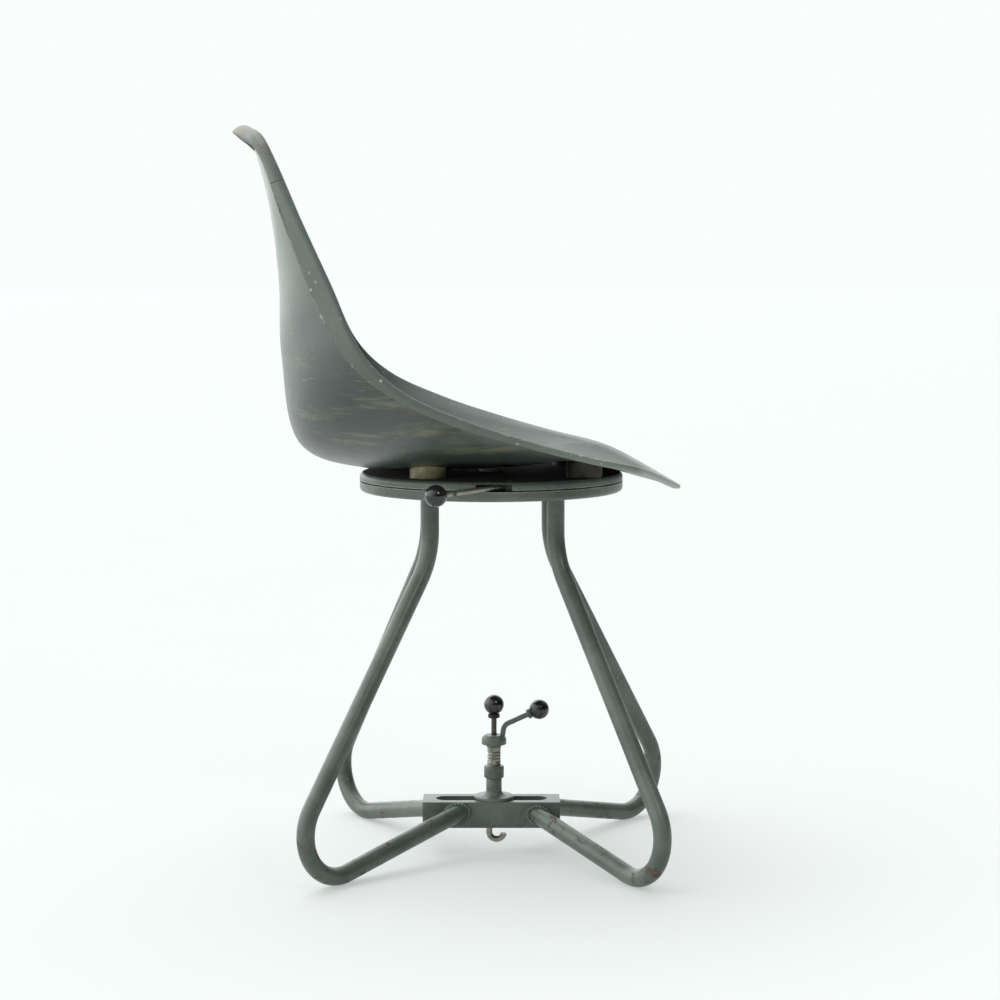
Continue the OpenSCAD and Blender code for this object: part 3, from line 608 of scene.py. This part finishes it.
@dataclass
class SeatBucket:
    """The moulded shell, with an open rolled rim. Lengths are in millimetres."""

    half_width: float = 225.0
    turn: float = 4.1
    top_z: float = 834.0
    lip_z: float = 427.0
    seat_gap: float = 10.6
    flange_wall: float = 3.4
    flange_gap: float = 0.3
    side_power: float = 2.4
    crease: float = 3.2
    crease_reach: float = 42.0
    crease_ahead: float = 81.0
    crease_bow: float = 84.0
    crease_span: float = 190.0
    around: int = 288
    inner_rings: int = 60
    skin_rings: int = 44
    middle_forward: Sequence[float] = (-265, -246, -235, -232.5, -214, -140, -63, 20, 88, 160, 213)
    crest_forward: Sequence[float] = (-265, -248, -215, -181, -151, -108, -44, 22, 88, 154, 213)
    middle_rise: Sequence[float] = (0.775, 0.547, 0.319, 0.07)
    middle_low: Sequence[float] = (0, -1, 2, 11, -9)
    crest_rise: Sequence[float] = (0.921, 0.72, 0.521, 0.346, 0.238, 0.162, 0.105, 0.057)
    crest_low: float = 5.1
    fullness: Sequence[float] = (0.9, 0.92, 0.918, 0.955, 1.01, 1.03, 1.035, 1.065, 1.16, 1.29, 1.32)
    rim_out: Sequence[float] = (24, 12.6, 16.8, 15.7, 12.1, 8, 8, 7, 7, 7.2, 6)
    rim_back: Sequence[float] = (-9, 8.7, 14.3, 21.6, 12.8, 6.8, 6.7, 4, 3.7, 4.7, 4)
    crest_radius: Sequence[float] = (13, 7, 4.5, 4, 4, 4, 4, 4, 3.5, 3, 2.5)
    walls: Sequence[float] = (5, 5, 5, 5, 5, 5, 5, 5, 4.6, 3.8, 3.2)
    middle: list[Vector] = field(default_factory=list)
    crest: list[Vector] = field(default_factory=list)
    inside_z: float = 0.0

    def __post_init__(self) -> None:
        """Works the stations' heights out from the turntable's top and the shell's top."""
        self.inside_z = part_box("upper_pan")[1].z / MM + self.seat_gap
        top = self.top_z - self.inside_z
        lip = self.lip_z - self.inside_z
        crown = top - self.crest_radius[0]
        rises = [crown] + [share * top for share in self.middle_rise] + [*self.middle_low, lip]
        self.middle = [Vector(pair) for pair in zip(self.middle_forward, rises)]
        rises = [crown] + [share * top for share in self.crest_rise] + [self.crest_low, lip]
        self.crest = [Vector(pair) for pair in zip(self.crest_forward, rises)]

    @staticmethod
    def blend(stations: Sequence, u: float) -> Union[float, Vector]:
        """Follows a smooth curve through stations.

        Args:
            stations: Numbers or points, one per station.
            u: Where on it, from 0 to the last station's index.

        Returns:
            The number or point at u.
        """
        last = len(stations) - 1
        i = min(last - 1, max(0, math.floor(u)))
        f = u - i
        p1, p2 = stations[i], stations[i + 1]
        p0 = stations[i - 1] if i > 0 else 2 * p1 - p2
        p3 = stations[i + 2] if i < last - 1 else 2 * p2 - p1
        return 0.5 * (2 * p1 + (p2 - p0) * f + (2 * p0 - 5 * p1 + 4 * p2 - p3) * (f * f)
                      + (3 * p1 - p0 - 3 * p2 + p3) * (f * f * f))

    def inside(self, rho: float, turn: float) -> Vector:
        """Returns a point of the inside; rho is 1 on the crest, turn starts at the back's top."""
        c, s = math.cos(turn), math.sin(turn)
        along = 5 * (1 - rho * c)
        side = rho * s / math.sqrt(max(1e-9, 1 - (rho * c) ** 2))
        lift = abs(side) ** self.side_power
        middle = self.blend(self.middle, along)
        place = middle + (self.blend(self.crest, along) - middle) * lift
        across = self.half_width * self.blend(self.fullness, along) * rho * s
        bow = self.crease_bow * (across / self.crease_span) ** 2
        past = abs(place.x - self.crease_ahead - bow) / self.crease_reach
        fold = self.crease * max(0.0, 1 - past) ** 2 * max(0.0, 1 - rho ** 10)
        return Vector((across, -place.x, self.inside_z + place.y + fold))

    def outwards(self, rho: float, turn: float) -> Vector:
        """Returns the direction on the surface straight towards the rim."""
        return (self.inside(rho + 0.002, turn) - self.inside(rho - 0.002, turn)).normalized()

    def away(self, rho: float, turn: float) -> Vector:
        """Returns the direction square to the surface, away from the sitter."""
        step = math.radians(0.5)
        across = self.inside(rho, turn + step) - self.inside(rho, turn - step)
        return self.outwards(rho, turn).cross(across).normalized()

    def section(self, turn: float) -> list[tuple[Vector, float]]:
        """Follows the shell's section at one turn, from the heel over the rim to the underside.

        Args:
            turn: The turn round the rim, in radians.

        Returns:
            Points with their "roll": 1 on the crest, 2 on the rim's outer edge, 3 at the skin.
        """
        along = 5 * (1 - math.cos(turn))
        back, out = self.blend(self.rim_back, along), self.blend(self.rim_out, along)
        origin = self.inside(1, turn)
        u, v = self.outwards(0.997, turn), self.away(0.997, turn)
        widest = (back * back + out * out) / (2 * out)
        radius = min(self.blend(self.crest_radius, along), 0.96 * widest)
        skin = self.blend(self.walls, along)
        wall = min(self.flange_wall, out - skin - self.flange_gap)
        reach = math.hypot(back, out - radius)
        heading = math.atan2(out - radius, -back) + math.asin(radius / reach)
        rows: list[tuple[float, float, float]] = []
        for i in range(1, 9):
            angle = heading * i / 8
            rows.append((radius * math.sin(angle), radius * (1 - math.cos(angle)), 1 + 0.3 * i / 8))
        start, end = Vector(rows[-1][:2]), Vector((-back, out))
        for i in range(1, 8):
            point = start.lerp(end, i / 8)
            rows.append((point.x, point.y, 1.3 + 0.7 * i / 8))
        forward = Vector((math.cos(heading), math.sin(heading)))
        left = Vector((-forward.y, forward.x))
        for i in range(6):
            angle = math.pi * i / 5
            bulge = forward * (math.sin(angle) * wall * 0.35)
            point = end + left * (wall * (1 - math.cos(angle)) / 2) + bulge - forward * (wall * 0.35)
            rows.append((point.x, point.y, 2 + 0.2 * i / 5))
        lining = end + left * wall - forward * (wall * 0.35)
        corner_u = start.x + left.x * wall + (skin - start.y - left.y * wall) \
            * forward.x / forward.y if abs(forward.y) > 0.05 else -2.0
        corner = Vector((max(-0.8 * max(back, 0) - 2, min(0.5, corner_u)), skin))
        entry = lining.lerp(corner, 0.72)
        leave = Vector((corner.x - 3.0, skin))
        for i in range(1, 5):
            point = lining.lerp(entry, i / 5)
            rows.append((point.x, point.y, 2.2 + 0.5 * i / 5))
        for i in range(5):
            t = i / 5
            point = entry * (1 - t) ** 2 + corner * (2 * t * (1 - t)) + leave * t * t
            rows.append((point.x, point.y, 2.7 + 0.3 * t))
        section = [(self.inside(i / self.inner_rings, turn), i / self.inner_rings)
                   for i in range(self.inner_rings + 1)]
        section += [(origin + u * row[0] + v * row[1], row[2]) for row in rows]
        span = (self.inside(1, turn) - self.inside(0.9, turn)).length / 0.1
        skin_end = 1 + leave.x / span
        for i in range(self.skin_rings, 0, -1):
            rho = skin_end * i / self.skin_rings
            depth = self.walls[0] + (skin - self.walls[0]) * rho ** 3
            section.append((self.inside(rho, turn) + self.away(rho, turn) * depth, 4 - rho))
        heel = self.inside(0, 0) + self.away(0.01, math.pi / 2) * self.walls[0]
        section.append((heel, 4.0))
        return section

    def build(self) -> bmesh.types.BMesh:
        """Wraps a grid round the shell's sections.

        Returns:
            The closed shell, in metres, with "roll" on its points.
        """
        sections = [self.section(2 * math.pi * j / self.around) for j in range(self.around)]
        rings = len(sections[0]) - 1
        shape = bmesh.new()
        roll = shape.verts.layers.float.new("roll")
        bmesh.ops.create_grid(shape, x_segments=rings, y_segments=self.around, size=1.0)
        placing = Matrix.Scale(MM, 4) @ Matrix.Rotation(math.radians(self.turn), 4, "Z")
        for vert, i, j in wrapped(shape.verts, rings, self.around):
            point, rolled = sections[j][i]
            vert.co = placing @ point
            vert[roll] = rolled
        close_up(shape)
        return shape

    def dress(self) -> None:
        """Adds the shell and its fixings."""
        add_piece("seat_bucket", self.build(), "seat", ShellPaint().make(),
                  ["seat_shell"])
        dress(["seat_pads"], RawResin().make())
        dress(["seat_inserts"], Bronze().make())
        dress(["seat_bolts", "seat_washers"], BareSteel("fixing_steel").make())


@dataclass
class Turntable:
    """Both pans, the ball race, the pivot and the lock lever."""

    @staticmethod
    def rim_edge(node: str, end: int) -> float:
        """Returns the height of a pan's open edge; end is 0 for its low end and 1 for its high one."""
        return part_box(node)[end].z

    def dress(self) -> None:
        """Dresses the turntable's nodes."""
        edges = (self.rim_edge("upper_pan", 0), self.rim_edge("lower_pan", 1))
        # The upper pan's top plate gets painted shade from the seat above it
        enamel = Enamel("pan_enamel", Upkeep.TURNED, edges=edges,
                        shade_above=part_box("upper_pan")[1].z).make()
        dress(["upper_pan", "lower_pan"], enamel)
        steel = BareSteel("race_steel", dirt=0.2).make()
        dress(["upper_race", "lower_race", "bearing_balls", "brake_ring", "lock_pin", "pivot_bolt",
               "pivot_washer", "pivot_nut", "cotter_pin"], steel)
        dress(["ball_cage", "pivot_bush"], Bronze().make())
        dress(["lock_lever"], BareSteel("lever_steel", dirt=0.6, lines=(30, 30, 1)).make())
        dress(["lock_shoe"], BrakeLining().make())
        dress(["lock_knob"], KnobPlastic().make())


@dataclass
class Stand:
    """The four looped legs, the floor channel and their welds. Lengths are in millimetres."""

    tube_r: float = 10.0
    top_x: float = 50.9
    top_y: float = 70.6
    ring_turn: float = 2.4
    splay: float = 51.0
    swirl: float = -3.7
    return_rise: float = 11.9
    return_start: tuple[float, float] = (131.911, 11.096)
    boss_drop: float = 3.0
    pan_bead: float = 2.3
    channel_bead: float = 2.6
    bead_steps: int = 160
    bead_sides: int = 12

    def dress(self) -> None:
        """Dresses the stand's nodes."""
        tube = Enamel("tube_enamel", Upkeep.KICKED, foot_top=0.12).make()
        legs = [f"leg_{end}_{side}" for end in ("front", "rear") for side in ("left", "right")]
        dress(legs, tube)
        weld = Enamel("weld_enamel", Upkeep.BARE_JOINT, grain=1.6).make()
        pan_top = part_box("lower_pan")[1].z / MM
        add_piece("tube_beads", self.beads(self.pan_rings(), self.pan_bead, pan_top), "base", weld,
                  ["pan_welds"])
        channel_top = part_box("channel")[1].z / MM - 0.3
        add_piece("channel_beads",
                  self.beads(self.channel_rings(), self.channel_bead, channel_top), "base", weld,
                  ["channel_welds"])
        dress(["channel", "channel_ends"],
              Enamel("channel_enamel", Upkeep.STOOD_ON, foot_top=0.07).make())

    def leg_frames(self) -> Iterable[tuple[int, Vector, Vector]]:
        """Yields each leg's side, the middle of its top and the level direction it heads in."""
        for side in (-1, 1):
            for end in (-1, 1):
                top = Matrix.Rotation(math.radians(self.ring_turn), 3, "Z") @ Vector(
                    (side * self.top_x, end * self.top_y, 0))
                splay = math.radians(self.splay)
                heading = math.atan2(end * math.cos(splay), side * math.sin(splay)) \
                    + math.radians(self.swirl)
                yield side, top, Vector((math.cos(heading), math.sin(heading), 0))

    def pan_rings(self) -> list[Ring]:
        """Returns the rings where the tubes meet the lower pan, each with its middle and normal."""
        pan_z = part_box("lower_pan")[0].z / MM + self.boss_drop
        rings = []
        for _, top, _ in self.leg_frames():
            middle = top + Vector((0, 0, pan_z))
            ring = [middle + Vector((math.cos(a), math.sin(a), 0)) * (self.tube_r + 1)
                    for a in self.angles()]
            rings.append((ring, middle, Vector((0, 0, -1))))
        return rings

    def channel_rings(self) -> list[Ring]:
        """Returns the ovals where the tubes meet the channel's sides, each with its middle and normal."""
        rise = math.radians(self.return_rise)
        wall_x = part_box("channel")[1].x / MM
        rings = []
        for side, top, heading in self.leg_frames():
            inwards = -heading * math.cos(rise) + Vector((0, 0, math.sin(rise)))
            start = top + heading * self.return_start[0] + Vector((0, 0, self.return_start[1]))
            across = inwards.cross(Vector((0, 0, 1))).normalized()
            upwards = across.cross(inwards).normalized()
            plane = side * wall_x
            middle = start + inwards * ((plane - start.x) / inwards.x)
            ring = []
            for a in self.angles():
                point = middle + (across * math.cos(a) + upwards * math.sin(a)) * (self.tube_r + 0.6)
                ring.append(point + inwards * ((plane - point.x) / inwards.x))
            rings.append((ring, middle, Vector((side, 0, 0))))
        return rings

    def angles(self) -> list[float]:
        """Returns the angles of a bead's steps."""
        return [2 * math.pi * i / self.bead_steps for i in range(self.bead_steps)]

    def beads(self, rings: Sequence[Ring], size: float, highest: float) -> bmesh.types.BMesh:
        """Lays a rippled weld bead along each ring.

        Args:
            rings: Rings of points in millimetres, each with its middle and the way the bead stands.
            size: The bead's radius in millimetres.
            highest: The level that the bead is ground down to, in millimetres.

        Returns:
            The beads, in metres.
        """
        shape = bmesh.new()
        for number, (ring, middle, normal) in enumerate(rings):
            steps = len(ring)
            grid = bmesh.ops.create_grid(shape, x_segments=self.bead_sides, y_segments=steps,
                                         size=1.0)
            for vert, i, j in wrapped(grid["verts"], self.bead_sides, steps):
                along = 2 * math.pi * j / steps
                ripple = 1 + 0.16 * math.sin(23 * along + number) \
                    + 0.12 * math.sin(5 * along + 2.3 * number)
                angle = 2 * math.pi * i / self.bead_sides
                outwards = (ring[j] - middle).normalized()
                offset = outwards * math.cos(angle) + normal * math.sin(angle)
                spot = ring[j] + offset * (size * ripple)
                spot.z = min(spot.z, highest)
                vert.co = spot * MM
        close_up(shape)
        return shape


def turned(outline: Sequence[tuple[float, float]], steps: int = 96) -> bmesh.types.BMesh:
    """Spins a closed outline about the upright axis, as a lathe does.

    Args:
        outline: Its corners as radius and height, in millimetres.
        steps: The facets of a full turn.

    Returns:
        The turned shape, in metres.
    """
    shape = bmesh.new()
    verts = [shape.verts.new((radius * MM, 0, height * MM)) for radius, height in outline]
    edges = [shape.edges.new(pair) for pair in zip(verts, verts[1:] + verts[:1])]
    bmesh.ops.spin(shape, geom=verts + edges, cent=(0, 0, 0), axis=(0, 0, 1), angle=2 * math.pi,
                   steps=steps, use_merge=True)
    bmesh.ops.recalc_face_normals(shape, faces=shape.faces)
    return shape


@dataclass
class HookClamp:
    """The column, its screw and lever, and the hook that pulls on the floor bar. In millimetres."""

    ahead: float = 3.0
    rod_bore: float = 4.6
    column_r: float = 9.0
    collar_r: float = 11.5
    screw_r: float = 7.7
    hub_r: float = 14.3
    washer_r: float = 23.0
    thread: tuple[float, float] = (104.5, 117.5)
    thread_pitch: float = 3.5
    thread_depth: float = 1.1
    thread_fade: float = 1.5
    groove_half: float = 0.3
    groove_power: float = 0.6
    lever_tip: tuple[float, float] = (52.0, 165.4)
    lever_rise: float = 24.49
    knob_r: float = 11.5
    seam_half: float = 0.35
    seam_rise: float = 0.006

    def place(self, shape: bmesh.types.BMesh) -> bmesh.types.BMesh:
        """Moves a shape from the upright axis to the clamp's axis, and returns it."""
        bmesh.ops.translate(shape, verts=shape.verts, vec=(0, -self.ahead * MM, 0))
        return shape

    @staticmethod
    def ends(node: str) -> tuple[float, float]:
        """Returns the levels of a node's low end and high end, in millimetres."""
        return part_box(node)[0].z / MM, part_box(node)[1].z / MM

    def washer(self) -> bmesh.types.BMesh:
        """Returns the washer that bridges the slot, with its corners rubbed round."""
        low, high = self.ends("slot_washer")
        r = self.washer_r
        return self.place(turned([
            (self.rod_bore, low), (r - 0.6, low), (r, low + 0.5), (r, high - 0.9),
            (r - 0.3, high - 0.35), (r - 0.9, high), (self.rod_bore, high)]))

    def column(self) -> bmesh.types.BMesh:
        """Returns the column sleeve, with the weld's hollow fillet at its foot."""
        low, high = self.ends("column_sleeve")
        r, bore = self.column_r, self.screw_r + 0.3
        return self.place(turned([
            (self.rod_bore, low), (r + 6, low), (r + 4.6, low + 0.45), (r + 3, low + 1.2),
            (r + 1.6, low + 2.3), (r + 0.6, low + 3.8), (r + 0.1, low + 5.4), (r, low + 7),
            (r, high - 0.9), (r - 0.4, high - 0.2), (bore, high), (bore, high - 12),
            (self.rod_bore, high - 12)]))

    def collar(self) -> bmesh.types.BMesh:
        """Returns the threaded collar, with its chamfers and a lathe mark round its middle."""
        low, high = self.ends("collar")
        r, bore, mark = self.collar_r, self.screw_r + 0.05, low + 6.3
        return self.place(turned([
            (bore, low), (r - 1, low), (r - 0.2, low + 0.5), (r, low + 1), (r, mark - 0.4),
            (r - 0.35, mark), (r, mark + 0.4), (r, high - 1.2), (r - 0.25, high - 0.6),
            (r - 0.9, high), (bore, high)]))

    def hub(self) -> bmesh.types.BMesh:
        """Returns the clamp hub, with the pocket that holds the rod's shoulder."""
        low, high = self.ends("clamp_hub")
        r, neck, pocket, floor = self.hub_r, self.screw_r + 1, 8.3, low + 4
        return self.place(turned([
            (self.screw_r, low), (neck - 0.4, low), (neck, low + 0.4), (neck, low + 2.6),
            (neck + 0.5, low + 3), (r - 0.8, low + 3), (r - 0.2, low + 3.3), (r, low + 3.9),
            (r, high - 0.5), (r - 0.25, high), (pocket, high), (pocket, floor), (self.screw_r, floor)]))

    def ferrule(self, r: float, height: float) -> bmesh.types.BMesh:
        """Turns a grooved ferrule that stands on the origin.

        Args:
            r: Its widest radius.
            height: Its length.

        Returns:
            The ferrule, in metres.
        """
        return turned([
            (3.1, 0), (r - 1.3, 0), (r - 0.6, 0.4), (r, 1.3), (r, 0.5 * height),
            (r - 0.4, 0.5 * height + 0.35), (r, 0.5 * height + 0.7), (r - 0.1, height),
            (r - 1.4, height + 0.6), (3.1, height + 0.6)])

    def screw(self) -> bmesh.types.BMesh:
        """Wraps a grid into the screw sleeve and sinks one helical groove into it.

        Returns:
            The sleeve, in metres, open at its hidden ends.
        """
        low, high = self.ends("screw_sleeve")
        rows, around = 260, 96
        shape = bmesh.new()
        bmesh.ops.create_grid(shape, x_segments=rows, y_segments=around, size=1.0)
        for vert, i, j in wrapped(shape.verts, rows, around):
            height = low + i / rows * (high - low)
            phase = (height / self.thread_pitch - j / around) % 1
            groove = max(0.0, 1 - abs(phase - 0.5) / self.groove_half) ** self.groove_power
            fade = min(1.0, max(0.0, (height - self.thread[0]) / self.thread_fade)) \
                * min(1.0, max(0.0, (self.thread[1] - height) / self.thread_fade))
            radius = self.screw_r - self.thread_depth * groove * fade
            angle = 2 * math.pi * j / around
            vert.co = Vector((radius * math.cos(angle), radius * math.sin(angle), height)) * MM
        close_up(shape)
        return self.place(shape)

    def knob(self, middle: Vector) -> bmesh.types.BMesh:
        """Moulds a ball knob round a point, with a fine seam round its waist.

        Args:
            middle: Its middle, in metres.

        Returns:
            The knob.
        """
        shape = bmesh.new()
        bmesh.ops.create_uvsphere(shape, u_segments=96, v_segments=64, radius=self.knob_r * MM)
        for vert in shape.verts:
            waist = max(0.0, 1 - abs(vert.co.x) / (self.seam_half * MM))
            vert.co *= 1 + self.seam_rise * waist
            vert.co += middle
        return shape

    def dress(self) -> None:
        """Adds the turned pieces and dresses the clamp's other nodes."""
        paint = Enamel("clamp_enamel", Upkeep.HANDLED, grain=1.8).make()
        for name, shape, body, node in (("slot_plate", self.washer(), "carriage", "slot_washer"),
                                        ("column_tube", self.column(), "carriage", "column_sleeve"),
                                        ("screw_collar", self.collar(), "carriage", "collar"),
                                        ("lever_hub", self.hub(), "screw", "clamp_hub")):
            add_piece(name, shape, body, paint, [node])
        add_piece("screw_thread", self.screw(), "screw", BareSteel("screw_steel", dirt=0.5).make(),
                  ["screw_sleeve"])
        rise = math.radians(self.lever_rise)
        towards = Vector((0, -math.cos(rise), math.sin(rise)))
        tip = Vector((0, -self.ahead - self.lever_tip[0], self.lever_tip[1]))
        cuff = self.ferrule(5.6, 4.2)
        bmesh.ops.rotate(cuff, verts=cuff.verts, cent=(0, 0, 0),
                         matrix=Matrix.Rotation(math.radians(90) - rise, 3, "X"))
        bmesh.ops.translate(cuff, verts=cuff.verts, vec=(tip - towards * (self.knob_r + 3.4)) * MM)
        add_piece("lever_cuff", cuff, "screw", paint, ["lever_ferrule"])
        dark = BareSteel("dark_steel", bright=paint_tone(84, 72, 58), dull=paint_tone(48, 42, 36),
                         dirt=0.7).make()
        cuff = self.ferrule(6.9, 4.2)
        knob_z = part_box("hook_knob")[1].z / MM - self.knob_r
        bmesh.ops.translate(cuff, verts=cuff.verts, vec=(0, 0, (knob_z - self.knob_r - 4) * MM))
        add_piece("rod_cuff", self.place(cuff), "hook", dark, ["hook_ferrule"])
        plastic = KnobPlastic().make()
        add_piece("lever_ball", self.knob(tip * MM), "screw", plastic, ["lever_knob"])
        add_piece("rod_ball", self.knob(Vector((0, -self.ahead, knob_z)) * MM), "hook", plastic,
                  ["hook_knob"])
        dress(["hub_cap", "clamp_lever"], paint)
        dress(["hook_rod"], BareSteel("hook_steel", dirt=0.3, dark_above=0.12).make())
        dress(["guide_block"], BareSteel("block_steel", dirt=0.5).make())
        dress(["thrust_washer"], Bronze().make())


# ---- Studio ----------------------------------------------------------------


@dataclass
class Studio:
    """The pale floor, the soft light and the camera."""

    distance: float = 2.7766
    height: float = 0.67824
    aside: float = -0.00996
    pitch: float = 5.56
    lens: float = 87.78
    floor_r: float = 60.0
    floor_glow: float = 0.415
    white: Colour = (0.955, 0.985, 0.968, 1.0)

    def floor(self) -> None:
        """Adds the floor."""
        shape = bmesh.new()
        bmesh.ops.create_circle(shape, cap_ends=True, segments=96, radius=self.floor_r)
        data = bpy.data.meshes.new("studio_floor")
        shape.to_mesh(data)
        shape.free()
        floor = bpy.data.objects.new("studio_floor", data)
        bpy.context.scene.collection.objects.link(floor)
        recipe = Recipe("studio_paper")
        grain = recipe.cloud(3.0, 2.0)
        colour = recipe.mix(grain, (0.33, 0.342, 0.336, 1), (0.335, 0.347, 0.341, 1))
        glow = recipe.mix(grain, (0.93, 0.96, 0.945, 1), (0.94, 0.97, 0.955, 1))
        data.materials.append(recipe.finish(colour, 0.9, Specular_IOR_Level=0.1, Emission_Color=glow,
                                            Emission_Strength=self.floor_glow))

    def lights(self) -> None:
        """Adds an even sky that is brighter behind the seat, a wide overhead sun and a soft box."""
        world = bpy.data.worlds.new("studio")
        bpy.context.scene.world = world
        world.use_nodes = True
        sky = NodeTree(world.node_tree)
        place = sky.node("ShaderNodeTexCoord").outputs["Generated"]
        dot = sky.node("ShaderNodeVectorMath", {"operation": "DOT_PRODUCT"},
                       {0: place, 1: Vector((0.45, 0.85, 0.3)).normalized()})
        level = sky.node("ShaderNodeMapRange", {"interpolation_type": "SMOOTHSTEP"},
                         {"Value": dot.outputs["Value"], "From Min": -0.6, "From Max": 1.0,
                          "To Min": 0.05, "To Max": 2.4})
        soft = sky.node("ShaderNodeBackground", None,
                        {"Color": (0.96, 1.0, 0.985, 1), "Strength": level.outputs[0]})
        plain = sky.node("ShaderNodeBackground", None, {"Color": self.white})
        seen = sky.node("ShaderNodeLightPath").outputs["Is Camera Ray"]
        chosen = sky.node("ShaderNodeMixShader", None,
                          {0: seen, 1: soft.outputs[0], 2: plain.outputs[0]})
        sky.node("ShaderNodeOutputWorld", None, {"Surface": chosen.outputs[0]})
        self.lamp("overhead", "SUN", 1.2, (0.7, 0.5, 3.0), angle=math.radians(50))
        self.lamp("soft_box", "AREA", 9.0, (-1.9, -1.1, 1.9), size=0.5)

    @staticmethod
    def lamp(name: str, kind: str, energy: float, place: Sequence[float], **settings: float) -> None:
        """Adds one lamp that points at the seat.

        Args:
            name: Its name.
            kind: Blender's type of light.
            energy: Its strength.
            place: Where it stands.
            settings: Its other settings.
        """
        data = bpy.data.lights.new(name, kind)
        data.energy = energy
        for key, value in settings.items():
            setattr(data, key, value)
        lamp = bpy.data.objects.new(name, data)
        lamp.location = place
        towards = Vector((0, 0, 0.4)) - Vector(place)
        lamp.rotation_euler = towards.to_track_quat("-Z", "Y").to_euler()
        bpy.context.scene.collection.objects.link(lamp)

    def camera(self) -> None:
        """Adds the camera, level with the seat's right side."""
        data = bpy.data.cameras.new("camera")
        data.sensor_width = 36
        data.lens = self.lens
        data.clip_end = 200
        camera = bpy.data.objects.new("camera", data)
        camera.location = (-self.distance, self.aside, self.height)
        camera.rotation_euler = (math.radians(90 - self.pitch), 0, math.radians(-90))
        bpy.context.scene.collection.objects.link(camera)
        bpy.context.scene.camera = camera

    def build(self) -> None:
        """Adds everything that isn't the object."""
        bpy.context.scene.view_settings.view_transform = "Standard"
        self.camera()
        self.floor()
        self.lights()
        LOG.info("studio ready")


def main() -> None:
    """Builds every class in order."""
    logging.basicConfig(level=logging.INFO, format="%(name)s: %(message)s")
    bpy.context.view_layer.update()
    Studio().build()
    for assembly in (SeatBucket(), Turntable(), Stand(), HookClamp()):
        assembly.dress()


if __name__ == "__main__":
    main()
